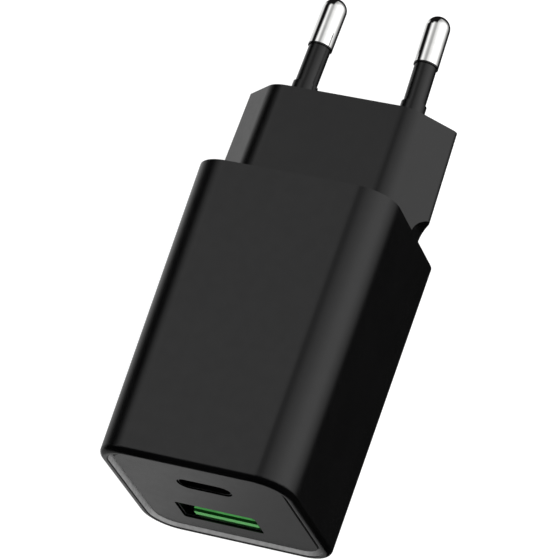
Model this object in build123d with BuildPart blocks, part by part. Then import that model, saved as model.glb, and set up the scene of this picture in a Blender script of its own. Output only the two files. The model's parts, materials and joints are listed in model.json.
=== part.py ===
"""USB wall charger: two-pin European plug head, rounded body, USB-C and USB-A ports.

Origin: midway between the pins, on the face of the plug head that meets the socket.
+Y points into the socket, +Z is the large front face, +X is to the right seen from the ports.
Depth is measured from the engagement face back towards the ports, so depth = -Y.
"""
from build123d import *

import os

# ---- plug head and pins (EN 50075 flat plug) ----
pin_spacing = 18.6
pin_tip_spacing = 17.5
pin_length = 19.0
pin_diameter = 4.0
pin_core_diameter = 2.8
pin_tail = 12.0
pin_flange_diameter = 5.2
pin_flange_thickness = 1.2
pin_flange_depth = 3.5
sleeve_length = 10.4
sleeve_diameter = 3.6
sleeve_lip_diameter = 4.0
sleeve_lip_length = 0.25
sleeve_collar_diameter = 4.1
sleeve_collar_length = 3.4
head_length = 18.4
head_half_width = 17.5
head_half_height = 6.4
head_flat_half_width = 11.55
head_draft = 0.0266
head_front_wall = 5.0
head_corner_radius = 4.5
head_side_radius = 1.1
head_cavity_width = 29.0
head_cavity_height = 9.2
grip_radius = 3.3
grip_centre_x = 19.7

# ---- body ----
body_length = 49.35
body_width = 33.1
body_width_at_ports = 32.1
body_height = 31.5
body_corner = 5.7
body_edge_radius = 1.05
body_wall = 2.0
rim_width = 0.45
rim_inner_radius = 0.25
plate_recess = 0.5
plate_thickness = 1.8
plate_base_thickness = 1.0
moat_width = 0.75
plate_edge_radius = 0.15
flange_thickness = 2.0
fit_gap = 0.05

# ---- ports ----
usb_a_x = -1.48
usb_a_z = -6.49
usb_a_opening = (13.4, 6.0)
usb_a_opening_corner = 0.5
usb_a_shell_size = (13.2, 5.4)
usb_a_shell_length = 14.0
usb_a_sheet = 0.25
usb_a_mouth = 0.3
tongue_x = -0.51
tongue_width = 10.6
tongue_thickness = 1.8
tongue_recess = 0.2
tongue_bottom = -7.98
tongue_bevel = 0.37
usb_c_x = -0.23
usb_c_z = 5.97
usb_c_opening = (9.1, 3.5)
usb_c_shell_size = (8.94, 3.16)
usb_c_shell_length = 8.0
usb_c_sheet = 0.25
usb_c_mouth = 0.2

# ---- boards ----
board_thickness = 1.2
board_corner = 1.0
board_width = 26.4
board_front_depth = 64.9
board_back_depth = 22.0
upper_board_thickness = 1.0
upper_board_width = 23.0
upper_board_back_depth = 50.5

# ---- snap hooks, board rails and shelves ----
hook_thickness = 1.0
hook_height = 6.0
hook_length = 6.0
barb_depth = 0.5
barb_length = 1.6
barb_setback = 4.0
hook_clearance = 0.1
rail_width = 1.2
rail_height = 1.0
rail_start = 24.0
rail_end = 50.0
shelf_width = 4.6
shelf_length = 4.0
shelf_height = 1.2

# ---- USB-A contact springs ----
contact_offsets = (-3.5, -1.0, 1.0, 3.5)
contact_width = 1.0
contact_thickness = 0.2
contact_root_depth = 59.0
contact_crest_depth = 64.2
contact_tip_depth = 65.8
contact_crest_rise = 0.5
contact_root_flat = 1.4
contact_crest_run = (0.7, 0.6)
contact_shoulder_rise = (0.4, 0.35)
contact_tail_depth = 52.3
groove_width = 1.2
groove_depth = 0.95
tail_slot_length = 0.6
tongue_base_front = 57.6
tongue_base_back = 53.2

# ---- USB-A shell legs and retention springs ----
leg_width = 2.0
leg_depth = 58.0
leg_stick_out = 0.8
leg_slot = (0.8, 2.4)
shell_spring_x = 3.1
shell_spring_depth = 61.5
shell_window = (2.6, 6.0)
shell_spring = (1.8, 5.4)

# ---- USB-C tongue and contacts ----
usb_c_tongue_width = 6.6
usb_c_tongue_thickness = 0.7
usb_c_tongue_length = 4.6
usb_c_base_length = 2.4
usb_c_contact_count = 12
usb_c_contact_pitch = 0.5
usb_c_contact_size = (0.26, 3.4, 0.08)
usb_c_leg_depths = (60.0, 64.0)
usb_c_leg_width = 1.1
usb_c_leg_slot = (0.7, 1.5)

# ---- power parts on the main board: place is (x, depth) ----
wire_diameter = 1.7
wire_board_x = 5.6
wire_board_depth = 23.4
fuse_place = (-9.6, 27.4)
fuse_diameter = 5.6
fuse_height = 8.0
thermistor_place = (-10.0, 34.0)
thermistor_diameter = 6.2
thermistor_thickness = 3.0
choke_place = (-0.9, 27.6)
choke_outer_radius = 5.0
choke_inner_radius = 2.6
choke_width = 4.0
choke_wire = 0.7
choke_turns = 5
choke_wire_width = 0.7
choke_turn_angle = 26.0
film_capacitor_place = (9.6, 28.7)
film_capacitor_size = (5.6, 9.0, 9.0)
bulk_capacitor_places = ((-2.8, 36.9), (5.8, 37.2), (8.8, 46.3))
bulk_capacitor_diameter = 7.8
bulk_capacitor_height = 16.0
bulk_capacitor_groove = 1.6
transformer_place = (-3.8, 46.6)
transformer_size = (15.0, 10.4, 11.4)
transformer_plate = 2.2
transformer_limb_radius = 2.6
bobbin_wall = 0.6
winding_radius = 4.6
shield_capacitor_place = (9.6, 55.0)
shield_capacitor_size = (5.6, 2.6, 6.0)
inductor_place = (9.4, 61.0)
inductor_size = (6.0, 6.0, 3.0)
output_capacitor_x = (-5.4, 1.4)
output_capacitor_diameter = 5.8
output_capacitor_length = 9.0
output_capacitor_front_depth = 61.1
link_x = -10.3
link_depth = 56.5
link_count = 5
link_pitch = 2.0
link_pin = 0.6
link_hole = 0.7
link_base_size = (2.2, 9.2, 2.4)

# ---- small parts under the main board: x, depth, width, length, thickness ----
bridge_rectifier_place = (-7.0, 30.0, 6.4, 5.2, 1.3)
switch_place = (4.0, 36.0, 6.0, 5.0, 1.0)
controller_place = (-5.0, 40.0, 5.0, 4.0, 1.4)
optocoupler_place = (-9.0, 47.0, 4.6, 4.4, 2.0)
rectifier_place = (2.0, 48.8, 6.0, 5.0, 1.0)
port_controller_place = (2.0, 54.6, 4.0, 4.0, 0.8)
spreader_size = (20.0, 16.0, 0.4)
spreader_place = (0.0, 35.0)
spreader_corner = 1.0
pad_thickness = 0.7
chip_ceramics = ((-10.5, 55.0), (-10.5, 57.5), (-10.5, 60.0), (9.5, 55.0), (9.5, 57.5), (9.5, 60.0))
chip_ceramic_size = (2.0, 1.25, 1.25)
chip_resistors = ((-4.0, 46.0), (-4.0, 48.0), (-4.0, 50.0), (9.0, 46.0), (9.0, 48.0), (9.0, 50.0))
chip_resistor_size = (1.6, 0.8, 0.45)
sheet_thickness = 0.25
sheet_flap = 7.0

# ---- shared small details ----
can_edge_radius = 0.6
can_groove_depth = 0.3
box_edge_radius = 0.6
chip_edge_radius = 0.15
lead_diameter = 0.6
lead_spacing = 3.0
lead_gap = 0.6

# ---- derived places ----
body_end = head_length + body_length
plate_face = body_end - plate_recess
plate_back = plate_face - plate_thickness
pocket_width = body_width_at_ports - 2 * (body_edge_radius + rim_width)
pocket_height = body_height - 2 * (body_edge_radius + rim_width)
pocket_corner = body_corner - body_edge_radius - rim_width
cavity_width = body_width_at_ports - 2 * body_wall
cavity_height = body_height - 2 * body_wall
cavity_corner = body_corner - body_wall
board_top = usb_a_z - usb_a_shell_size[1] / 2 - fit_gap
board_bottom = board_top - board_thickness
upper_board_top = usb_c_z - usb_c_shell_size[1] / 2 - fit_gap
upper_board_bottom = upper_board_top - upper_board_thickness
tongue_top = tongue_bottom + tongue_thickness
tongue_face = plate_face - tongue_recess
usb_a_back = plate_face - usb_a_mouth - usb_a_shell_length
usb_a_floor = usb_a_z - usb_a_shell_size[1] / 2
usb_c_back = plate_face - usb_c_mouth - usb_c_shell_length
pin_toe_in = (pin_spacing - pin_tip_spacing) / 2 / pin_length
half_chamfer = 2 ** 0.5 - 1  # tangent of half the 45 degree slope of the plug head's sides

os.makedirs("parts", exist_ok=True)


def at_depth(depth):
    """Plane across the charger at a depth; sketch X is +X, sketch Y is +Z."""
    return Plane.XZ.offset(depth)


def at_height(height):
    """Level plane at a height; sketch X is +X, sketch Y is +Y."""
    return Plane.XY.offset(height)


def pin_plane(side):
    """Plane at a pin's root, square to the pin, which toes in towards its tip."""
    root = (side * pin_spacing / 2, 0, 0)
    return Plane(origin=root, x_dir=(0, 0, 1), z_dir=(-side * pin_toe_in, 1, 0))


def save(piece, name):
    piece.part.label = name
    export_step(piece.part, f"parts/{name}.step")


def head_corners(depth):
    """Corners of the six-sided plug outline, which grows with depth by the moulding draft."""
    grow = head_draft * depth
    half_height = head_half_height + grow
    flat = head_flat_half_width + grow * half_chamfer
    apex = head_half_width + grow + half_chamfer * head_side_radius
    return [
        (flat, half_height),
        (-flat, half_height),
        (-apex, 0),
        (-flat, -half_height),
        (flat, -half_height),
        (apex, 0),
    ]


# ---- body shell: drafted rounded tube, open at both ends ----
with BuildPart() as body_shell:
    with BuildSketch(at_height(-body_height / 2)):
        Polygon(
            (-body_width / 2, -head_length),
            (body_width / 2, -head_length),
            (body_width_at_ports / 2, -body_end),
            (-body_width_at_ports / 2, -body_end),
            align=None,
        )
    extrude(amount=body_height)
    fillet(body_shell.edges().sort_by(SortBy.LENGTH)[-4:], body_corner)
    fillet(body_shell.faces().sort_by(Axis.Y)[0].edges(), body_edge_radius)
    with BuildSketch(at_depth(head_length)):
        RectangleRounded(cavity_width, cavity_height, cavity_corner)
    extrude(amount=body_length, mode=Mode.SUBTRACT)
    with BuildSketch(at_depth(plate_back)):
        RectangleRounded(pocket_width, pocket_height, pocket_corner)
    extrude(amount=plate_thickness + plate_recess, mode=Mode.SUBTRACT)
    rim = body_shell.faces().filter_by(Axis.Y).sort_by(Axis.Y)[0]
    fillet(rim.inner_wires()[0].edges(), rim_inner_radius)
    with BuildSketch(at_depth(head_length)):
        RectangleRounded(pocket_width, pocket_height, pocket_corner)
    extrude(amount=flange_thickness, mode=Mode.SUBTRACT)
    for side in (-1, 1):
        rail_x = side * (cavity_width - rail_width) / 2
        for rail_z in (board_top + fit_gap + rail_height / 2, board_bottom - fit_gap - rail_height / 2):
            with BuildSketch(at_depth(rail_start)):
                with Locations((rail_x, rail_z)):
                    Rectangle(rail_width, rail_height)
            extrude(amount=rail_end - rail_start)
        with BuildSketch(at_depth(plate_back - barb_setback - barb_length - hook_clearance)):
            with Locations((side * cavity_width / 2, 0)):
                Rectangle(2 * (barb_depth + hook_clearance), hook_height + 2 * hook_clearance)
        extrude(amount=barb_length + 2 * hook_clearance, mode=Mode.SUBTRACT)
save(body_shell, "body_shell")

# ---- plug head: hollow nose with a flange that closes the back of the body ----
with BuildPart() as plug_head:
    for depth in (0, head_length):
        with BuildSketch(at_depth(depth)) as outline:
            Polygon(*head_corners(depth), align=None)
            by_height = outline.vertices().group_by(Axis.Y)
            fillet(by_height[0] + by_height[-1], head_corner_radius)
            by_side = outline.vertices().sort_by(Axis.X)
            fillet([by_side[0], by_side[-1]], head_side_radius)
    loft()
    with Locations((-grip_centre_x, -head_length, 0), (grip_centre_x, -head_length, 0)):
        Cylinder(grip_radius, body_height, mode=Mode.SUBTRACT)
    with BuildSketch(at_depth(head_length)):
        RectangleRounded(
            pocket_width - 2 * fit_gap, pocket_height - 2 * fit_gap, pocket_corner - fit_gap
        )
    extrude(amount=flange_thickness - fit_gap)
    with BuildSketch(at_depth(head_front_wall)):
        SlotOverall(head_cavity_width, head_cavity_height)
    extrude(amount=body_length, mode=Mode.SUBTRACT)
    for side in (-1, 1):
        with BuildSketch(pin_plane(side)):
            Circle(sleeve_collar_diameter / 2 + fit_gap)
        extrude(amount=sleeve_collar_length, mode=Mode.SUBTRACT)
        with BuildSketch(pin_plane(side)):
            Circle(sleeve_diameter / 2)
        extrude(amount=-pin_flange_depth, mode=Mode.SUBTRACT)
        with BuildSketch(pin_plane(side).offset(-pin_flange_depth)):
            Circle(pin_flange_diameter / 2)
        extrude(amount=-pin_flange_thickness, mode=Mode.SUBTRACT)
        with BuildSketch(pin_plane(side).offset(-pin_flange_depth - pin_flange_thickness)):
            Circle(pin_core_diameter / 2)
        extrude(amount=-pin_tail, mode=Mode.SUBTRACT)
save(plug_head, "plug_head")


# ---- pins: bare tip, core under the sleeve, anchoring flange and solder tail ----
def build_pin(side, name):
    plane = pin_plane(side)
    with BuildPart() as pin:
        with BuildSketch(plane.offset(-pin_tail)):
            Circle(pin_core_diameter / 2)
        extrude(amount=pin_tail + sleeve_length)
        with BuildSketch(plane.offset(-pin_flange_depth - pin_flange_thickness)):
            Circle(pin_flange_diameter / 2)
        extrude(amount=pin_flange_thickness)
        with BuildSketch(plane.offset(sleeve_length)):
            Circle(pin_diameter / 2)
        extrude(amount=pin_length - sleeve_length - pin_diameter / 2)
        with Locations(plane.offset(pin_length - pin_diameter / 2).location):
            Sphere(pin_diameter / 2)
    save(pin, name)


def build_sleeve(side, name):
    plane = pin_plane(side)
    with BuildPart() as sleeve:
        with BuildSketch(plane.offset(-pin_flange_depth)):
            Circle(sleeve_diameter / 2)
        extrude(amount=pin_flange_depth + sleeve_length)
        with BuildSketch(plane):
            Circle(sleeve_collar_diameter / 2)
        extrude(amount=sleeve_collar_length)
        with BuildSketch(plane.offset(sleeve_length - sleeve_lip_length)):
            Circle(sleeve_lip_diameter / 2)
        extrude(amount=sleeve_lip_length)
        with BuildSketch(plane.offset(-pin_flange_depth)):
            Circle(pin_core_diameter / 2)
        extrude(amount=pin_flange_depth + sleeve_length, mode=Mode.SUBTRACT)
    save(sleeve, name)


for pin_side, side_name in ((-1, "left"), (1, "right")):
    build_pin(pin_side, f"pin_{side_name}")
    build_sleeve(pin_side, f"pin_sleeve_{side_name}")


# ---- end plate with the two port openings ----
with BuildPart() as end_plate:
    with BuildSketch(at_depth(plate_back)):
        RectangleRounded(
            pocket_width - 2 * fit_gap, pocket_height - 2 * fit_gap, pocket_corner - fit_gap
        )
    extrude(amount=plate_base_thickness)
    with BuildSketch(at_depth(plate_back)):
        RectangleRounded(
            pocket_width - 2 * moat_width, pocket_height - 2 * moat_width, pocket_corner - moat_width
        )
    extrude(amount=plate_thickness)
    fillet(end_plate.faces().sort_by(Axis.Y)[0].edges(), plate_edge_radius)
    with BuildSketch(at_depth(plate_back)):
        with Locations((usb_a_x, usb_a_z)):
            RectangleRounded(*usb_a_opening, usb_a_opening_corner)
        with Locations((usb_c_x, usb_c_z)):
            SlotOverall(*usb_c_opening)
    extrude(amount=plate_thickness, mode=Mode.SUBTRACT)
    for side in (-1, 1):
        hook_x = side * (cavity_width / 2 - hook_clearance - hook_thickness / 2)
        with BuildSketch(at_depth(plate_back - hook_length)):
            with Locations((hook_x, 0)):
                Rectangle(hook_thickness, hook_height)
        extrude(amount=hook_length)
        barb_x = side * (cavity_width / 2 - hook_clearance)
        with BuildSketch(at_depth(plate_back - barb_setback - barb_length)):
            with Locations((barb_x, 0)):
                Rectangle(2 * barb_depth, hook_height)
        extrude(amount=barb_length)
        shelf_x = side * (upper_board_width - shelf_width) / 2
        with BuildSketch(at_depth(plate_back - shelf_length)):
            with Locations((shelf_x, upper_board_bottom - fit_gap - shelf_height / 2)):
                Rectangle(shelf_width, shelf_height)
        extrude(amount=shelf_length)
save(end_plate, "end_plate")

# ---- USB-A port: sheet shell with legs, green tongue, sprung contacts ----
with BuildPart() as usb_a_shell:
    with BuildSketch(at_depth(usb_a_back)):
        with Locations((usb_a_x, usb_a_z)):
            Rectangle(*usb_a_shell_size)
            Rectangle(
                usb_a_shell_size[0] - 2 * usb_a_sheet,
                usb_a_shell_size[1] - 2 * usb_a_sheet,
                mode=Mode.SUBTRACT,
            )
    extrude(amount=usb_a_shell_length)
    for spring_x in (usb_a_x - shell_spring_x, usb_a_x + shell_spring_x):
        with BuildSketch(at_height(usb_a_floor)):
            with Locations((spring_x, -shell_spring_depth)):
                Rectangle(*shell_window)
                Rectangle(*shell_spring, mode=Mode.SUBTRACT)
            with Locations((spring_x, -shell_spring_depth - shell_spring[1] / 2)):
                Rectangle(shell_spring[0], shell_window[1] - shell_spring[1], mode=Mode.SUBTRACT)
        extrude(amount=usb_a_shell_size[1], mode=Mode.SUBTRACT)
    for side in (-1, 1):
        leg_x = usb_a_x + side * (usb_a_shell_size[0] - usb_a_sheet) / 2
        with BuildSketch(at_height(board_bottom - leg_stick_out)):
            with Locations((leg_x, -leg_depth)):
                Rectangle(usb_a_sheet, leg_width)
        extrude(amount=usb_a_floor + usb_a_sheet - board_bottom + leg_stick_out)
save(usb_a_shell, "usb_a_shell")


def contact_tail_outline():
    """Side outline of a contact's fixed strip: along the tongue, then down through the board."""
    top = tongue_top
    low = tongue_top - contact_thickness
    foot = board_bottom - leg_stick_out
    inner = contact_tail_depth + contact_thickness
    return [
        (-contact_root_depth, top),
        (-contact_tail_depth, top),
        (-contact_tail_depth, foot),
        (-inner, foot),
        (-inner, low),
        (-contact_root_depth, low),
    ]


with BuildPart() as usb_a_tongue:
    with BuildSketch(at_depth(tongue_base_back)):
        with Locations((usb_a_x, usb_a_z)):
            Rectangle(
                usb_a_shell_size[0] - 2 * (usb_a_sheet + fit_gap),
                usb_a_shell_size[1] - 2 * (usb_a_sheet + fit_gap),
            )
    extrude(amount=tongue_base_front - tongue_base_back)
    with BuildSketch(at_depth(tongue_base_front)):
        with Locations((tongue_x, (tongue_bottom + tongue_top) / 2)):
            Rectangle(tongue_width, tongue_thickness)
    extrude(amount=tongue_face - tongue_base_front)
    front = usb_a_tongue.faces().sort_by(Axis.Y)[0]
    chamfer(front.edges().sort_by(Axis.Z)[-1], tongue_bevel)
    chamfer(usb_a_tongue.faces().sort_by(Axis.Y)[0].edges().sort_by(Axis.Z)[0], tongue_bevel / 2)
    for offset_x in contact_offsets:
        contact_x = tongue_x + offset_x
        with BuildSketch(at_height(tongue_top - groove_depth)):
            with Locations((contact_x, -(contact_root_depth + contact_tip_depth + fit_gap) / 2)):
                Rectangle(groove_width, contact_tip_depth - contact_root_depth + groove_width / 2)
        extrude(amount=groove_depth, mode=Mode.SUBTRACT)
        with BuildSketch(Plane.YZ.offset(contact_x - contact_width / 2)):
            Polygon(*contact_tail_outline(), align=None)
        extrude(amount=contact_width, mode=Mode.SUBTRACT)
save(usb_a_tongue, "usb_a_tongue")

with BuildPart() as usb_a_contact_tails:
    for offset_x in contact_offsets:
        with BuildSketch(Plane.YZ.offset(tongue_x + offset_x - contact_width / 2)):
            Polygon(*contact_tail_outline(), align=None)
        extrude(amount=contact_width)
save(usb_a_contact_tails, "usb_a_contact_tails")

spring_top = [
    (contact_root_depth + fit_gap, 0.0),
    (contact_root_depth + contact_root_flat, 0.0),
    (contact_crest_depth - contact_crest_run[0], contact_shoulder_rise[0]),
    (contact_crest_depth, contact_crest_rise),
    (contact_crest_depth + contact_crest_run[1], contact_shoulder_rise[1]),
    (contact_tip_depth, -contact_thickness),
]
spring_outline = [(-depth, tongue_top + rise) for depth, rise in spring_top]
spring_outline += [(-depth, tongue_top + rise - contact_thickness) for depth, rise in reversed(spring_top)]
with BuildPart() as usb_a_contact_springs:
    for offset_x in contact_offsets:
        with BuildSketch(Plane.YZ.offset(tongue_x + offset_x - contact_width / 2)):
            Polygon(*spring_outline, align=None)
        extrude(amount=contact_width)
save(usb_a_contact_springs, "usb_a_contact_springs")

# ---- USB-C port: drawn shell, tongue and two rows of fixed contacts ----
with BuildPart() as usb_c_shell:
    with BuildSketch(at_depth(usb_c_back)):
        with Locations((usb_c_x, usb_c_z)):
            SlotOverall(*usb_c_shell_size)
            SlotOverall(
                usb_c_shell_size[0] - 2 * usb_c_sheet,
                usb_c_shell_size[1] - 2 * usb_c_sheet,
                mode=Mode.SUBTRACT,
            )
    extrude(amount=usb_c_shell_length)
    for side in (-1, 1):
        for row_depth in usb_c_leg_depths:
            with BuildSketch(at_height(upper_board_bottom)):
                with Locations((usb_c_x + side * (usb_c_shell_size[0] - usb_c_sheet) / 2, -row_depth)):
                    Rectangle(usb_c_sheet, usb_c_leg_width)
            extrude(amount=usb_c_z - upper_board_bottom)
save(usb_c_shell, "usb_c_shell")

with BuildPart() as usb_c_tongue:
    with BuildSketch(at_depth(usb_c_back)):
        with Locations((usb_c_x, usb_c_z)):
            SlotOverall(
                usb_c_shell_size[0] - 2 * (usb_c_sheet + fit_gap),
                usb_c_shell_size[1] - 2 * (usb_c_sheet + fit_gap),
            )
    extrude(amount=usb_c_base_length)
    with BuildSketch(at_depth(usb_c_back + usb_c_base_length)):
        with Locations((usb_c_x, usb_c_z)):
            Rectangle(usb_c_tongue_width, usb_c_tongue_thickness)
    extrude(amount=usb_c_tongue_length)
save(usb_c_tongue, "usb_c_tongue")

with BuildPart() as usb_c_contacts:
    row_depth = usb_c_back + usb_c_base_length + usb_c_contact_size[1] / 2
    for side in (-1, 1):
        row_z = usb_c_z + side * (usb_c_tongue_thickness + usb_c_contact_size[2]) / 2
        with Locations((usb_c_x, -row_depth, row_z)):
            with GridLocations(usb_c_contact_pitch, 0, usb_c_contact_count, 1):
                Box(*usb_c_contact_size)
save(usb_c_contacts, "usb_c_contacts")

# ---- boards ----
with BuildPart() as main_board:
    with BuildSketch(at_height(board_bottom)):
        with Locations((0, -(board_front_depth + board_back_depth) / 2)):
            RectangleRounded(board_width, board_front_depth - board_back_depth, board_corner)
        with Locations(
            (usb_a_x - usb_a_shell_size[0] / 2, -leg_depth),
            (usb_a_x + usb_a_shell_size[0] / 2, -leg_depth),
        ):
            Rectangle(*leg_slot, mode=Mode.SUBTRACT)
        for offset_x in contact_offsets:
            with Locations((tongue_x + offset_x, -contact_tail_depth - contact_thickness / 2)):
                Rectangle(groove_width, tail_slot_length, mode=Mode.SUBTRACT)
    extrude(amount=board_thickness)
save(main_board, "main_board")

with BuildPart() as upper_board:
    with BuildSketch(at_height(upper_board_bottom)):
        with Locations((0, -(plate_back - fit_gap + upper_board_back_depth) / 2)):
            RectangleRounded(
                upper_board_width, plate_back - fit_gap - upper_board_back_depth, board_corner
            )
        for side in (-1, 1):
            for row_depth in usb_c_leg_depths:
                with Locations((usb_c_x + side * usb_c_shell_size[0] / 2, -row_depth)):
                    Rectangle(*usb_c_leg_slot, mode=Mode.SUBTRACT)
        with Locations((link_x, -link_depth)):
            with GridLocations(0, link_pitch, 1, link_count):
                Rectangle(link_hole, link_hole, mode=Mode.SUBTRACT)
    extrude(amount=upper_board_thickness)
save(upper_board, "upper_board")

with BuildPart() as link_header:
    with BuildSketch(at_height(board_top)):
        with Locations((link_x, -link_depth)):
            Rectangle(link_base_size[0], link_base_size[1])
            with GridLocations(0, link_pitch, 1, link_count):
                Rectangle(link_pin, link_pin, mode=Mode.SUBTRACT)
    extrude(amount=link_base_size[2])
save(link_header, "link_header")

with BuildPart() as link_pins:
    with BuildSketch(at_height(board_top)):
        with Locations((link_x, -link_depth)):
            with GridLocations(0, link_pitch, 1, link_count):
                Rectangle(link_pin, link_pin)
    extrude(amount=upper_board_top - board_top + link_pin)
save(link_pins, "link_pins")


# ---- mains wires from the pin tails to the main board ----
def build_wire(side, name):
    plane = pin_plane(side)
    start = plane.offset(-pin_tail - fit_gap).origin
    end = Vector(side * wire_board_x, -wire_board_depth, board_top)
    with BuildPart() as wire:
        with BuildLine() as route:
            Spline(start, end, tangents=(-plane.z_dir, (0, 0, -1)))
        with BuildSketch(Plane(origin=start, z_dir=-plane.z_dir)):
            Circle(wire_diameter / 2)
        sweep(path=route.wires()[0])
    save(wire, name)


build_wire(-1, "neutral_wire")
build_wire(1, "live_wire")


# ---- power parts standing on the main board ----
def build_can(place, diameter, height, groove_height, name):
    """Round can with a rolled groove near its foot."""
    centre = (place[0], -place[1])
    with BuildPart() as can:
        with BuildSketch(at_height(board_top)):
            with Locations(centre):
                Circle(diameter / 2)
        extrude(amount=height)
        fillet(can.edges().group_by(Axis.Z)[-1], can_edge_radius)
        with Locations((centre[0], centre[1], board_top + groove_height)):
            Torus(diameter / 2 + can_groove_depth, 2 * can_groove_depth, mode=Mode.SUBTRACT)
    save(can, name)


build_can(fuse_place, fuse_diameter, fuse_height, fuse_height, "fuse")
for number, bulk_place in enumerate(bulk_capacitor_places, start=1):
    build_can(
        bulk_place,
        bulk_capacitor_diameter,
        bulk_capacitor_height,
        bulk_capacitor_groove,
        f"bulk_capacitor_{number}",
    )

with BuildPart() as inrush_thermistor:
    with BuildSketch(Plane.YZ.offset(thermistor_place[0] - thermistor_thickness / 2)):
        with Locations((-thermistor_place[1], board_top + thermistor_diameter / 2 + lead_gap)):
            Circle(thermistor_diameter / 2)
    extrude(amount=thermistor_thickness)
    fillet(inrush_thermistor.edges(), thermistor_thickness / 4)
    for lead in (-1, 1):
        with BuildSketch(at_height(board_top)):
            with Locations((thermistor_place[0], -thermistor_place[1] + lead * lead_spacing / 2)):
                Circle(lead_diameter / 2)
        extrude(amount=lead_gap + thermistor_diameter / 2)
save(inrush_thermistor, "inrush_thermistor")

choke_centre = (choke_place[0], -choke_place[1], board_top + choke_outer_radius + choke_wire + fit_gap)
choke_plane = Plane(origin=choke_centre, x_dir=(1, 0, 0), z_dir=(0, -1, 0))
with BuildPart() as choke_core:
    with BuildSketch(choke_plane.offset(-choke_width / 2)):
        Circle(choke_outer_radius)
        Circle(choke_inner_radius, mode=Mode.SUBTRACT)
    extrude(amount=choke_width)
save(choke_core, "choke_core")


def build_winding(side, name):
    """Separate square turns around one half of the ring core."""
    turn_inner = (choke_outer_radius - choke_inner_radius + 2 * fit_gap, choke_width + 2 * fit_gap)
    turn_outer = (turn_inner[0] + 2 * choke_wire, turn_inner[1] + 2 * choke_wire)
    middle_radius = (choke_outer_radius + choke_inner_radius) / 2
    with BuildPart() as winding:
        for turn in range(choke_turns):
            angle = side * 90 + (turn - (choke_turns - 1) / 2) * choke_turn_angle
            turned = choke_plane * Location((0, 0, 0), (0, 0, angle - 90))
            turn_place = turned * Location((0, middle_radius, 0))
            with Locations(turn_place * Location((0, 0, 0), (0, 90, 0))):
                Box(turn_outer[1], turn_outer[0], choke_wire_width)
                Box(turn_inner[1], turn_inner[0], choke_wire_width, mode=Mode.SUBTRACT)
    save(winding, name)


build_winding(0, "choke_winding_live")
build_winding(2, "choke_winding_neutral")

with BuildPart() as film_capacitor:
    with BuildSketch(at_height(board_top)):
        with Locations((film_capacitor_place[0], -film_capacitor_place[1])):
            Rectangle(film_capacitor_size[0], film_capacitor_size[1])
    extrude(amount=film_capacitor_size[2])
    fillet(film_capacitor.edges().filter_by(Axis.Z), box_edge_radius)
    fillet(film_capacitor.faces().sort_by(Axis.Z)[-1].edges(), box_edge_radius / 2)
save(film_capacitor, "film_capacitor")

# ---- transformer: ferrite core halves, bobbin, winding ----
transformer_centre = (transformer_place[0], -transformer_place[1])
core_inner_height = transformer_size[2] - 2 * transformer_plate
limb_x = (transformer_size[0] - transformer_plate) / 2
with BuildPart() as transformer_core:
    for plate_z in (board_top, board_top + transformer_size[2] - transformer_plate):
        with BuildSketch(at_height(plate_z)):
            with Locations(transformer_centre):
                Rectangle(transformer_size[0], transformer_size[1])
        extrude(amount=transformer_plate)
    with BuildSketch(at_height(board_top + transformer_plate)):
        with Locations(transformer_centre):
            Circle(transformer_limb_radius)
            with GridLocations(2 * limb_x, 0, 2, 1):
                Rectangle(transformer_plate, transformer_size[1])
    extrude(amount=core_inner_height)
save(transformer_core, "transformer_core")

bobbin_floor = board_top + transformer_plate + fit_gap
bobbin_height = core_inner_height - 2 * fit_gap
with BuildPart() as transformer_bobbin:
    with BuildSketch(at_height(bobbin_floor)):
        with Locations(transformer_centre):
            Circle(winding_radius + bobbin_wall)
    extrude(amount=bobbin_height)
    with BuildSketch(at_height(bobbin_floor + bobbin_wall)):
        with Locations(transformer_centre):
            Circle(winding_radius + bobbin_wall)
            Circle(transformer_limb_radius + fit_gap + bobbin_wall, mode=Mode.SUBTRACT)
    extrude(amount=bobbin_height - 2 * bobbin_wall, mode=Mode.SUBTRACT)
    with BuildSketch(at_height(bobbin_floor)):
        with Locations(transformer_centre):
            Circle(transformer_limb_radius + fit_gap)
    extrude(amount=bobbin_height, mode=Mode.SUBTRACT)
save(transformer_bobbin, "transformer_bobbin")

with BuildPart() as transformer_winding:
    with BuildSketch(at_height(bobbin_floor + bobbin_wall)):
        with Locations(transformer_centre):
            Circle(winding_radius)
            Circle(transformer_limb_radius + fit_gap + bobbin_wall, mode=Mode.SUBTRACT)
    extrude(amount=bobbin_height - 2 * bobbin_wall)
save(transformer_winding, "transformer_winding")


def build_block(place, size, base, edge_radius, name):
    """Moulded rectangular part standing on a level."""
    with BuildPart() as block:
        with BuildSketch(at_height(base)):
            with Locations((place[0], -place[1])):
                Rectangle(size[0], size[1])
        extrude(amount=size[2])
        fillet(block.edges().filter_by(Axis.Z), edge_radius)
    save(block, name)


build_block(shield_capacitor_place, shield_capacitor_size, board_top, box_edge_radius, "y_capacitor")
build_block(inductor_place, inductor_size, board_top, box_edge_radius, "output_inductor")

with BuildPart() as output_capacitors:
    can_z = upper_board_bottom - fit_gap - output_capacitor_diameter / 2
    with BuildSketch(at_depth(output_capacitor_front_depth - output_capacitor_length)):
        with Locations(*[(can_x, can_z) for can_x in output_capacitor_x]):
            Circle(output_capacitor_diameter / 2)
    extrude(amount=output_capacitor_length)
    fillet(output_capacitors.edges().group_by(Axis.Y)[-1], can_edge_radius)
save(output_capacitors, "output_capacitors")

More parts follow.
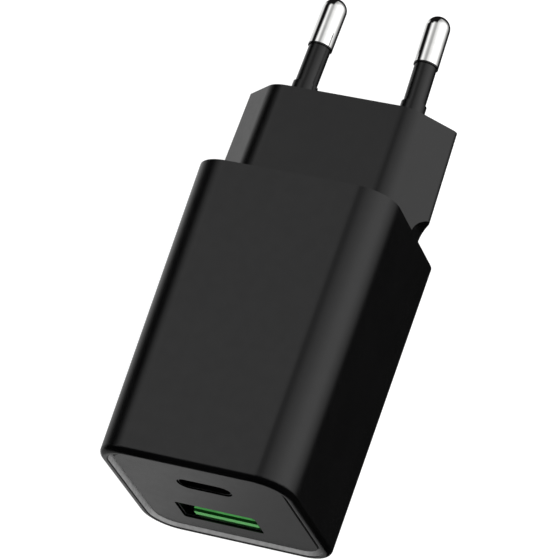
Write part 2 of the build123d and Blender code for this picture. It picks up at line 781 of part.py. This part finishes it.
# ---- chips under the main board and on the upper board ----
hanging_parts = {
    "bridge_rectifier": bridge_rectifier_place,
    "switching_transistor": switch_place,
    "primary_controller": controller_place,
    "optocoupler": optocoupler_place,
    "synchronous_rectifier": rectifier_place,
}
for chip_name, (chip_x, chip_depth, chip_width, chip_length, chip_height) in hanging_parts.items():
    build_block(
        (chip_x, chip_depth),
        (chip_width, chip_length, chip_height),
        board_bottom - chip_height,
        chip_edge_radius,
        chip_name,
    )
build_block(
    port_controller_place[:2],
    port_controller_place[2:],
    upper_board_top,
    chip_edge_radius,
    "port_controller",
)


def build_chip_row(places, size, name):
    """Identical surface-mount parts on the underside of the main board."""
    with BuildPart() as chip_row:
        with BuildSketch(at_height(board_bottom - size[2])):
            with Locations(*[(x, -depth) for x, depth in places]):
                Rectangle(size[0], size[1])
        extrude(amount=size[2])
    save(chip_row, name)


build_chip_row(chip_ceramics, chip_ceramic_size, "ceramic_capacitors")
build_chip_row(chip_resistors, chip_resistor_size, "chip_resistors")

# ---- heat path and insulation ----
pad_bottom = -cavity_height / 2 + fit_gap
pad_size = (spreader_size[0], spreader_size[1], pad_thickness)
build_block(spreader_place, pad_size, pad_bottom, spreader_corner, "thermal_pad")
build_block(spreader_place, spreader_size, pad_bottom + pad_thickness, spreader_corner, "heat_spreader")

with BuildPart() as insulation_sheet:
    sheet_top = cavity_height / 2 - fit_gap
    sheet_half_width = cavity_width / 2 - fit_gap
    flap_foot = sheet_top - sheet_flap
    with BuildSketch(at_depth(rail_start)):
        with Locations((0, sheet_top - cavity_height / 2)):
            RectangleRounded(2 * sheet_half_width, cavity_height, cavity_corner)
            RectangleRounded(
                2 * (sheet_half_width - sheet_thickness),
                cavity_height - 2 * sheet_thickness,
                cavity_corner - sheet_thickness,
                mode=Mode.SUBTRACT,
            )
        with Locations((0, flap_foot - cavity_height / 2)):
            Rectangle(cavity_width, cavity_height, mode=Mode.SUBTRACT)
    extrude(amount=rail_end - rail_start)
save(insulation_sheet, "insulation_sheet")
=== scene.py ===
import json
import math

import bpy
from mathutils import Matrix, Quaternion, Vector


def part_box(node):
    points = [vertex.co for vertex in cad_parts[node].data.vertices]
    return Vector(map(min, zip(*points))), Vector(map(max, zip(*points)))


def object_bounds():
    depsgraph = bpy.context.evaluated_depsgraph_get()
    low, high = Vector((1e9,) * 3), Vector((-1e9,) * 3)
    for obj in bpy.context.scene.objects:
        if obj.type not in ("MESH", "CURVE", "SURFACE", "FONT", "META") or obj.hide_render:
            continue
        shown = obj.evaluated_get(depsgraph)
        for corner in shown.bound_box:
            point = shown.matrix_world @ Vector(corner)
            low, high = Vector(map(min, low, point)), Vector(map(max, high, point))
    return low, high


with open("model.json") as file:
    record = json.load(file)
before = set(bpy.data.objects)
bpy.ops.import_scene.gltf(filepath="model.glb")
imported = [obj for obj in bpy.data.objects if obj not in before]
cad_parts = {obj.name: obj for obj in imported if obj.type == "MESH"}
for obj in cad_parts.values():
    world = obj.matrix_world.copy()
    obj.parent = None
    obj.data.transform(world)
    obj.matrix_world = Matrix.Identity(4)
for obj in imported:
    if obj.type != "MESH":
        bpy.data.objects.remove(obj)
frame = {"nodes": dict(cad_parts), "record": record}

CAD_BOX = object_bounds()
MM = 0.001
MICRON = 0.000001

# A noise's values bunch round 0.5, so these spans of it cover a whole change of tone or level.
TONE_SPAN = (0.35, 0.65)
WIDE_SPAN = (0.3, 0.7)


def rgb(red, green, blue):
    return (red, green, blue, 1.0)


# ---- node building ----
class Graph:
    """Short calls for building a node tree."""

    def __init__(self, tree):
        self.tree = tree

    def add(self, kind, inputs=None, **settings):
        node = self.tree.nodes.new(kind)
        for key, value in settings.items():
            setattr(node, key, value)
        for key, value in (inputs or {}).items():
            self.feed(node.inputs[key], value)
        return node

    def feed(self, socket, value):
        if isinstance(value, bpy.types.NodeSocket):
            self.tree.links.new(value, socket)
        else:
            socket.default_value = value

    def maths(self, operation, first, second=0.0):
        return self.add("ShaderNodeMath", {0: first, 1: second}, operation=operation).outputs[0]

    def product(self, first, *others):
        for value in others:
            first = self.maths("MULTIPLY", first, value)
        return first

    def dot(self, first, second):
        inputs = {0: first, 1: second}
        return self.add("ShaderNodeVectorMath", inputs, operation="DOT_PRODUCT").outputs["Value"]

    def remap(self, value, low, high, to_low=0.0, to_high=1.0, kind="SMOOTHSTEP"):
        inputs = {"Value": value, "From Min": low, "From Max": high, "To Min": to_low, "To Max": to_high}
        return self.add("ShaderNodeMapRange", inputs, interpolation_type=kind).outputs[0]

    def ramp(self, value, stops):
        node = self.add("ShaderNodeValToRGB", {"Fac": value})
        elements = node.color_ramp.elements
        while len(elements) < len(stops):
            elements.new(0.5)
        for element, (position, level) in zip(elements, stops):
            element.position = position
            element.color = rgb(level, level, level)
        return node.outputs["Color"]

    def mix(self, factor, first, second):
        node = self.add("ShaderNodeMix", data_type="RGBA")
        colours = {s.name: s for s in node.inputs if s.type == "RGBA"}
        self.feed(node.inputs[0], factor)
        self.feed(colours["A"], first)
        self.feed(colours["B"], second)
        return next(s for s in node.outputs if s.type == "RGBA")


class Surface(Graph):
    """A procedural material laid out in the object's own frame, so its grain keeps its real size."""

    def __init__(self, name):
        self.material = bpy.data.materials.new(name)
        self.material.use_nodes = True
        super().__init__(self.material.node_tree)
        self.shader = self.tree.nodes["Principled BSDF"]
        self.place = self.add("ShaderNodeTexCoord").outputs["Object"]
        self.normal = None

    def noise(self, grain_mm, detail=2.0, stretch=(1.0, 1.0, 1.0)):
        """Noise with features of about grain_mm; stretch above 1 draws it out along that axis."""
        scale = [1.0 / s for s in stretch]
        vector = self.add("ShaderNodeMapping", {"Vector": self.place, "Scale": scale}).outputs[0]
        inputs = {"Vector": vector, "Scale": 1.0 / (grain_mm * MM), "Detail": detail}
        return self.add("ShaderNodeTexNoise", inputs).outputs[0]

    def mottled(self, grain_mm, detail, first, second, span=TONE_SPAN):
        """Colour that drifts between two tones in patches of about grain_mm."""
        return self.mix(self.remap(self.noise(grain_mm, detail), *span), rgb(*first), rgb(*second))

    def uneven(self, noise, low, high):
        """Roughness that drifts between two levels with a noise."""
        return self.remap(noise, *WIDE_SPAN, low, high)

    def bump(self, height, depth_um):
        """Relief on top of any relief already there."""
        inputs = {"Height": height, "Distance": depth_um * MICRON}
        if self.normal is not None:
            inputs["Normal"] = self.normal
        self.normal = self.add("ShaderNodeBump", inputs).outputs[0]

    def worn_edge(self, radius_mm):
        """1 beside edges sharper than the radius, 0 on flats."""
        rounded = self.add("ShaderNodeBevel", {"Radius": radius_mm * MM}, samples=4).outputs[0]
        facing = self.add("ShaderNodeNewGeometry").outputs["Normal"]
        return self.remap(self.dot(rounded, facing), 0.99, 0.8)

    def set(self, **values):
        for name, value in values.items():
            self.feed(self.shader.inputs[name.replace("_", " ")], value)
        if self.normal is not None:
            self.feed(self.shader.inputs["Normal"], self.normal)
        return self.material


# ---- kinds of material ----
def moulded(name, colour, roughness=0.4, grain_mm=0.12, depth_um=3.0):
    """Injection-moulded plastic: spark-eroded grain, faint flow marks, slightly polished edges."""
    s = Surface(name)
    deep = tuple(0.72 * c for c in colour)
    polished = tuple(min(1.0, 1.6 * c + 0.004) for c in colour)
    wear = s.worn_edge(0.25)
    tone = s.mottled(6.0, 3.0, deep, colour)
    tone = s.mix(s.product(wear, 0.25), tone, rgb(*polished))
    rough = s.uneven(s.noise(1.6, 4.0), roughness * 0.92, roughness * 1.08)
    rough = s.maths("SUBTRACT", rough, s.product(wear, 0.05))
    s.bump(s.noise(grain_mm, 3.0), depth_um)
    return s.set(Base_Color=tone, Roughness=rough, IOR=1.46)


def metal(name, colour, roughness, brushed):
    """Plated or drawn metal: micro-scratches drawn out by brushed, and a faint uneven film."""
    s = Surface(name)
    dull = tuple(0.85 * c for c in colour)
    tone = s.mottled(2.2, 4.0, colour, dull, (0.4, 0.68))
    rough = s.uneven(s.noise(0.5, 4.0, brushed), roughness * 0.8, roughness * 1.25)
    s.bump(s.noise(0.09, 3.0, brushed), 0.6)
    return s.set(Base_Color=tone, Roughness=rough, Metallic=1.0)


def shrink_film(name, first, second, roughness):
    """Shrink film round a capacitor: smooth, slightly uneven, mottled between two tones."""
    s = Surface(name)
    grain_mm = 1.2
    tone = s.mottled(grain_mm, 4.0, first, second)
    rough = s.uneven(s.noise(0.4, 3.0), roughness * 0.7, roughness * 1.4)
    s.bump(s.noise(grain_mm), 4.0)
    return s.set(Base_Color=tone, Roughness=rough, IOR=1.5, Coat_Weight=0.3)


# ---- housing: black moulded plastic; the pocket wall round the end plate carries a painted highlight in light grey ----
HOUSING_IOR = 1.45
POCKET_FADE = (0.05 * MM, 0.22 * MM)
POCKET_DEPTH = 2.2 * MM
POCKET_CORNER = 4.2 * MM
POCKET_MARGIN = 0.35 * MM
shell_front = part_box("body_shell")[0].y
plate_half = (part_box("end_plate")[1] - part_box("end_plate")[0]) / 2


def housing(name):
    """The plastic's surface, with its tone and roughness."""
    s = Surface(name)
    wear = s.worn_edge(0.3)
    tone = s.mottled(7.0, 2.0, (0.0008, 0.0008, 0.0009), (0.0013, 0.0013, 0.0014))
    tone = s.mix(s.product(wear, 0.3), tone, rgb(0.005, 0.005, 0.005))
    rough = s.uneven(s.noise(1.8, 4.0), 0.235, 0.265)
    rough = s.maths("SUBTRACT", rough, s.product(wear, 0.03))
    s.bump(s.noise(0.14, 3.0), 1.2)
    return s, tone, rough


def housing_plain():
    s, tone, rough = housing("housing_plastic")
    return s.set(Base_Color=tone, Roughness=rough, IOR=HOUSING_IOR)


def housing_with_painted_pocket_highlight():
    """The same plastic, with a painted highlight: the wall inside the rim round the end plate is coloured
    light grey, standing in for a bright band of reflected light.
    """
    s, tone, rough = housing("housing_plastic_with_painted_pocket_highlight")
    axes = s.add("ShaderNodeSeparateXYZ", {"Vector": s.place}).outputs
    depth = s.maths("SUBTRACT", axes["Y"], shell_front)
    past_the_rim = s.remap(depth, *POCKET_FADE)
    before_the_cavity = s.maths("LESS_THAN", depth, POCKET_DEPTH)
    squares = []
    for axis, reach in (("X", plate_half.x), ("Z", plate_half.z)):
        distance = s.maths("SUBTRACT", s.maths("ABSOLUTE", axes[axis]), reach - POCKET_CORNER)
        squares.append(s.maths("POWER", s.maths("MAXIMUM", distance, 0.0), 2.0))
    radius = s.maths("SQRT", s.maths("ADD", *squares))
    inside_the_rim = s.maths("LESS_THAN", radius, POCKET_CORNER + POCKET_MARGIN)
    # Painted highlight: this mask colours the pocket wall and the rim's inner fillet light grey, in place
    # of the bright reflected band round the end plate; light is that painted colour.
    pocket_highlight_mask = s.product(past_the_rim, before_the_cavity, inside_the_rim)
    light = s.mottled(0.8, 3.0, (0.33, 0.33, 0.33), (0.39, 0.39, 0.39), WIDE_SPAN)
    return s.set(Base_Color=s.mix(pocket_highlight_mask, tone, light), Roughness=rough, IOR=HOUSING_IOR)


# ---- other single materials ----
def pin_plate():
    """Bright nickel plating with fine turning marks round the pin."""
    s = Surface("pin_nickel")
    tone = s.mottled(1.5, 4.0, (0.93, 0.925, 0.91), (0.86, 0.86, 0.85), (0.35, 0.7))
    rough = s.uneven(s.noise(0.7, 3.0), 0.03, 0.05)
    s.bump(s.noise(0.05, 2.0, (20.0, 1.0, 20.0)), 0.12)
    return s.set(Base_Color=tone, Roughness=rough, Metallic=1.0)


def tongue_plastic():
    """Green moulding; its upper front bevel is painted nearly black as shade, and drawn without mirror
    gloss.
    """
    s = Surface("green_tongue_plastic")
    tone = s.mottled(1.0, 3.0, (0.085, 0.40, 0.095), (0.105, 0.46, 0.115))
    facing = s.add("ShaderNodeNewGeometry").outputs["True Normal"]
    bevel_facing = (0.0, -math.sqrt(0.5), math.sqrt(0.5))
    # Painted shade: the upper front bevel gets a near-black colour and less gloss, standing in for the
    # dark line of shade along it.
    painted_shade_on_bevel = s.maths("GREATER_THAN", s.dot(facing, bevel_facing), 0.95)
    tone = s.mix(painted_shade_on_bevel, tone, rgb(0.002, 0.02, 0.003))
    rough = s.uneven(s.noise(0.4, 3.0), 0.38, 0.48)
    s.bump(s.noise(0.1, 3.0), 3.0)
    return s.set(Base_Color=tone, Roughness=rough, IOR=s.maths("SUBTRACT", 1.3, s.product(painted_shade_on_bevel, 0.25)))


def copper_turns():
    """Enamelled wire: ridges of the separate turns, with a reddish lacquer."""
    s = Surface("enamelled_copper")
    inputs = {"Vector": s.place, "Scale": 1.0 / (1.9 * MM), "Distortion": 0.4, "Detail": 1.0}
    wave = s.add("ShaderNodeTexWave", inputs, bands_direction="Z").outputs["Fac"]
    tone = s.mottled(0.6, 3.0, (0.72, 0.28, 0.11), (0.80, 0.38, 0.17))
    s.bump(wave, 60.0)
    return s.set(Base_Color=tone, Roughness=s.uneven(s.noise(0.5), 0.22, 0.34), Metallic=0.85)


def laminate():
    """Solder mask over copper tracks, which lift it slightly."""
    s = Surface("board_laminate")
    inputs = {"Vector": s.place, "Scale": 1.0 / (6.0 * MM), "Mortar Size": 0.06, "Mortar Smooth": 0.3}
    tracks = s.remap(s.add("ShaderNodeTexBrick", inputs).outputs["Fac"], 0.2, 0.8)
    weave = s.noise(0.35)
    tone = s.mix(tracks, rgb(0.012, 0.085, 0.035), rgb(0.03, 0.16, 0.06))
    tone = s.mix(s.remap(weave, 0.45, 0.8, 0.0, 0.4), tone, rgb(0.02, 0.12, 0.05))
    s.bump(tracks, 20.0)
    s.bump(weave, 6.0)
    return s.set(Base_Color=tone, Roughness=s.uneven(weave, 0.2, 0.34), IOR=1.5)


def amber_film():
    s = Surface("amber_film")
    tone = s.mottled(3.0, 3.0, (0.75, 0.42, 0.10), (0.85, 0.55, 0.18))
    rough = s.uneven(s.noise(0.6), 0.08, 0.18)
    s.bump(s.noise(4.0, 3.0), 60.0)
    return s.set(Base_Color=tone, Roughness=rough, Transmission_Weight=0.6, IOR=1.6)


# ---- a look for each material slot of the part ----
SLOT_LOOKS = {
    "housing": housing_plain(),
    "pin_metal": pin_plate(),
    "green_tongue": tongue_plastic(),
    "port_steel": metal("port_dark_nickel", (0.15, 0.15, 0.155), 0.38, (1.0, 14.0, 1.0)),
    "contact_alloy": metal("contact_gold", (0.86, 0.64, 0.28), 0.2, (1.0, 10.0, 1.0)),
    "port_insulator": moulded("port_insulator_plastic", (0.012, 0.012, 0.013), 0.42),
    "circuit_board": laminate(),
    "live_insulation": moulded("live_wire_skin", (0.16, 0.05, 0.022), 0.45),
    "neutral_insulation": moulded("neutral_wire_skin", (0.03, 0.10, 0.36), 0.45),
    "capacitor_sleeve": shrink_film("capacitor_film", (0.010, 0.014, 0.030), (0.016, 0.020, 0.042), 0.22),
    "capacitor_can": metal("capacitor_tin", (0.80, 0.80, 0.81), 0.3, (12.0, 12.0, 1.0)),
    "fuse_body": moulded("fuse_plastic", (0.10, 0.035, 0.02)),
    "thermistor_coat": moulded("thermistor_dip", (0.012, 0.045, 0.022), 0.5, 0.5, 20.0),
    "film_box": moulded("film_box_plastic", (0.62, 0.42, 0.05)),
    "disc_coat": moulded("disc_dip", (0.03, 0.12, 0.42), 0.45, 0.5, 20.0),
    "ferrite": moulded("ferrite_ceramic", (0.035, 0.033, 0.032), 0.55, 0.25, 14.0),
    "copper_wire": copper_turns(),
    "bobbin_plastic": moulded("bobbin_resin", (0.03, 0.028, 0.026)),
    "chip_package": moulded("chip_epoxy", (0.018, 0.018, 0.019), 0.5, 0.1, 5.0),
    "chip_ceramic": moulded("chip_ceramic_body", (0.33, 0.24, 0.16), 0.5, 0.15, 5.0),
    "silicone_pad": moulded("silicone_gel", (0.30, 0.34, 0.42), 0.6, 0.4, 18.0),
    "spreader_metal": metal("rolled_aluminium", (0.85, 0.85, 0.86), 0.28, (14.0, 1.0, 14.0)),
    "insulating_film": amber_film(),
}


def paint(node, look):
    materials = frame["nodes"][node].data.materials
    materials.clear()
    materials.append(look)


for part in frame["record"]["subparts"]:
    paint(part["node"], SLOT_LOOKS[part["material_slot"]])
paint("body_shell", housing_with_painted_pocket_highlight())

# ---- floor ----
FLOOR_HALF = 3.0
FLOOR_GLOW = 0.90
FLOOR_CORNERS = ((-1, -1), (1, -1), (1, 1), (-1, 1))


def floor_look():
    """Pale table top that glows evenly, with a very faint mottle."""
    material = bpy.data.materials.new("floor_acrylic")
    material.use_nodes = True
    material.cycles.emission_sampling = "NONE"
    g = Graph(material.node_tree)
    g.tree.nodes.clear()
    place = g.add("ShaderNodeTexCoord").outputs["Object"]
    mottle = g.add("ShaderNodeTexNoise", {"Vector": place, "Scale": 60.0, "Detail": 3.0}).outputs[0]
    tone = g.mix(g.remap(mottle, *WIDE_SPAN), rgb(0.33, 0.33, 0.33), rgb(0.37, 0.37, 0.37))
    diffuse = g.add("ShaderNodeBsdfDiffuse", {"Color": tone}).outputs[0]
    glow = g.add("ShaderNodeEmission", {"Color": rgb(1, 1, 1), "Strength": FLOOR_GLOW}).outputs[0]
    total = g.add("ShaderNodeAddShader", {0: diffuse, 1: glow}).outputs[0]
    g.add("ShaderNodeOutputMaterial", {"Surface": total})
    return material


def add_floor(height):
    """Square floor at the given height, which isn't mirrored and casts no shadow."""
    mesh = bpy.data.meshes.new("floor")
    corners = [(x * FLOOR_HALF, y * FLOOR_HALF, height) for x, y in FLOOR_CORNERS]
    mesh.from_pydata(corners, [], [(0, 1, 2, 3)])
    mesh.materials.append(floor_look())
    floor = bpy.data.objects.new("floor", mesh)
    bpy.context.scene.collection.objects.link(floor)
    floor.visible_glossy = False
    floor.visible_shadow = False


add_floor(CAD_BOX[0].z)

# ---- studio: a ring of soft panels round the pin axis ----
# Each pair is an angle round the Y axis in degrees, clockwise from straight up seen from the ports,
# and the glow there.
RING = (
    (-180, 0.00), (-168, 0.30), (-157, 0.90), (-112, 0.90), (-101, 0.45), (-91, 0.00), (-58, 0.00),
    (-48, 0.50), (-39, 1.05), (-14, 1.07), (-10, 0.45), (1, 0.40), (7, 0.60), (16, 0.85),
    (30, 1.05), (43, 1.25), (55, 1.45), (67, 1.60), (90, 1.50), (101, 1.15), (117, 0.66),
    (138, 0.11), (150, 0.01), (180, 0.00),
)
RING_PEAK = 1.6
FILL = 0.008

# Spans over which the ring changes: "along" is the Y of a direction, "across" its X, and "angle" the
# ring's angle in radians. Each runs from where its effect is least to where it is full.
RING_FRONT_ALONG = (-0.04, 0.06)
LEFT_ACROSS = (0.05, -0.05)
LEFT_BACK_ALONG = (0.68, 0.48)
RIGHT_BACK_ALONG = (1.0, 0.6)
RIGHT_BACK_GLOW = 0.35

# The left panels are turned one way for what mirrors in the ports end, the other for the head.
PORTS_ALONG = (0.32, 0.285)
PORTS_TURN = 0.12
PORTS_TURN_FROM_ANGLE = (-1.55, -1.15)
PORTS_TURN_TO_ANGLE = (-0.45, -0.7)
HEAD_ALONG = (0.395, 0.412)
HEAD_TURN = 0.21
HEAD_TURN_ANGLE = (-0.45, -0.75)

# The low left panel is dimmer towards the ports.
LOW_LEFT_ANGLE = (-1.5, -1.8)
LOW_LEFT_ALONG = (0.27, 0.43)
LOW_LEFT_GLOW = 0.45

# The panel that mirrors in the front of the head has a dimmer patch.
PATCH_ANGLE = -0.394
PATCH_REACH = (0.21, 0.13)
PATCH_ALONG = (0.375, 0.40)
PATCH_DIMMING = 0.28


def turned(g, angle, along):
    """The ring's angle with the left panels turned."""
    ports_turn = g.remap(along, *PORTS_ALONG, 0.0, PORTS_TURN, "LINEAR")
    window = g.product(g.remap(angle, *PORTS_TURN_FROM_ANGLE), g.remap(angle, *PORTS_TURN_TO_ANGLE))
    angle = g.maths("ADD", angle, g.product(ports_turn, window))
    head_turn = g.remap(along, *HEAD_ALONG, 0.0, HEAD_TURN)
    return g.maths("SUBTRACT", angle, g.product(head_turn, g.remap(angle, *HEAD_TURN_ANGLE)))


def back_edge(g, along, across):
    """Share of the glow that is left towards the pins, on the left and on the right."""
    left = g.remap(across, *LEFT_ACROSS)
    right = g.maths("SUBTRACT", 1.0, left)
    left_share = g.product(left, g.remap(along, *LEFT_BACK_ALONG))
    right_share = g.product(right, g.remap(along, *RIGHT_BACK_ALONG, RIGHT_BACK_GLOW, 1.0))
    return g.maths("ADD", left_share, right_share)


def low_left_share(g, angle, along):
    """Share of the glow that the low left panel keeps."""
    loss = g.maths("SUBTRACT", 1.0, g.remap(along, *LOW_LEFT_ALONG, LOW_LEFT_GLOW, 1.0, "LINEAR"))
    return g.maths("SUBTRACT", 1.0, g.product(g.remap(angle, *LOW_LEFT_ANGLE), loss))


def patch_share(g, angle, along):
    """Share of the glow that the patch keeps."""
    distance = g.maths("ABSOLUTE", g.maths("SUBTRACT", angle, PATCH_ANGLE))
    dimming = g.remap(along, *PATCH_ALONG, 0.0, PATCH_DIMMING)
    return g.maths("SUBTRACT", 1.0, g.product(g.remap(distance, *PATCH_REACH), dimming))


def studio():
    """The ring as the object sees it, and plain white as the camera sees it."""
    world = bpy.data.worlds.new("studio")
    world.use_nodes = True
    bpy.context.scene.world = world
    g = Graph(world.node_tree)
    g.tree.nodes.clear()
    direction = g.add("ShaderNodeTexCoord").outputs["Generated"]
    axes = g.add("ShaderNodeSeparateXYZ", {"Vector": direction}).outputs
    along = axes["Y"]
    angle = turned(g, g.maths("ARCTAN2", axes["X"], axes["Z"]), along)
    turn = g.maths("ADD", g.maths("DIVIDE", angle, 2 * math.pi), 0.5)
    ring = g.ramp(turn, [(degrees / 360 + 0.5, level / RING_PEAK) for degrees, level in RING])
    glow = g.product(
        ring,
        g.remap(along, *RING_FRONT_ALONG),
        back_edge(g, along, axes["X"]),
        low_left_share(g, angle, along),
        patch_share(g, angle, along),
        RING_PEAK,
    )
    seen = g.add("ShaderNodeLightPath").outputs["Is Camera Ray"]
    lit_inputs = {"Color": rgb(1, 1, 1), "Strength": g.maths("ADD", glow, FILL)}
    lit = g.add("ShaderNodeBackground", lit_inputs).outputs[0]
    white = g.add("ShaderNodeBackground", {"Color": rgb(1, 1, 1), "Strength": 1.0}).outputs[0]
    both = g.add("ShaderNodeMixShader", {0: seen, 1: lit, 2: white}).outputs[0]
    g.add("ShaderNodeOutputWorld", {"Surface": both})


studio()

# ---- lamps: two softboxes from below on the left, and a diffuse key light from above on the right ----
LAMP_AIM = Vector((0.0, -0.067, 0.0))


def softbox(name, place, side, glow, mirrored=True):
    """Square area light of a given radiance, hidden from the camera."""
    light = bpy.data.lights.new(name, "AREA")
    light.shape = "SQUARE"
    light.size = side
    light.energy = glow * side**2 * math.pi
    lamp = bpy.data.objects.new(name, light)
    lamp.location = place
    lamp.rotation_mode = "QUATERNION"
    lamp.rotation_quaternion = (LAMP_AIM - Vector(place)).to_track_quat("-Z", "Y")
    lamp.visible_camera = False
    lamp.visible_glossy = mirrored
    bpy.context.scene.collection.objects.link(lamp)


softbox("low_softbox", (-0.068, -0.121, -0.163), 0.10, 0.26)
softbox("low_left_softbox", (-0.1265, -0.1198, -0.1070), 0.16, 0.28)
softbox("key_softbox", (0.36, -0.347, 0.656), 0.30, 20.0, mirrored=False)

# ---- camera ----
AIM = Vector((-0.001366, -0.030613, 0.002298))
AZIMUTH, ELEVATION, ROLL = (math.radians(a) for a in (46.575, 60.174, -31.25))
DISTANCE = 0.6514
LENS, SENSOR_WIDTH = 272.9, 36.0
NEAREST, FARTHEST = 0.05, 20.0
back = Vector((
    math.sin(AZIMUTH) * math.cos(ELEVATION),
    -math.cos(AZIMUTH) * math.cos(ELEVATION),
    math.sin(ELEVATION),
))
camera = bpy.data.objects.new("camera", bpy.data.cameras.new("camera"))
camera.data.lens = LENS
camera.data.sensor_width = SENSOR_WIDTH
camera.data.clip_start, camera.data.clip_end = NEAREST, FARTHEST
camera.location = AIM + back * DISTANCE
camera.rotation_mode = "QUATERNION"
camera.rotation_quaternion = (-back).to_track_quat("-Z", "Y") @ Quaternion((0, 0, 1), ROLL)
bpy.context.scene.collection.objects.link(camera)
bpy.context.scene.camera = camera
bpy.context.scene.view_settings.view_transform = "Standard"
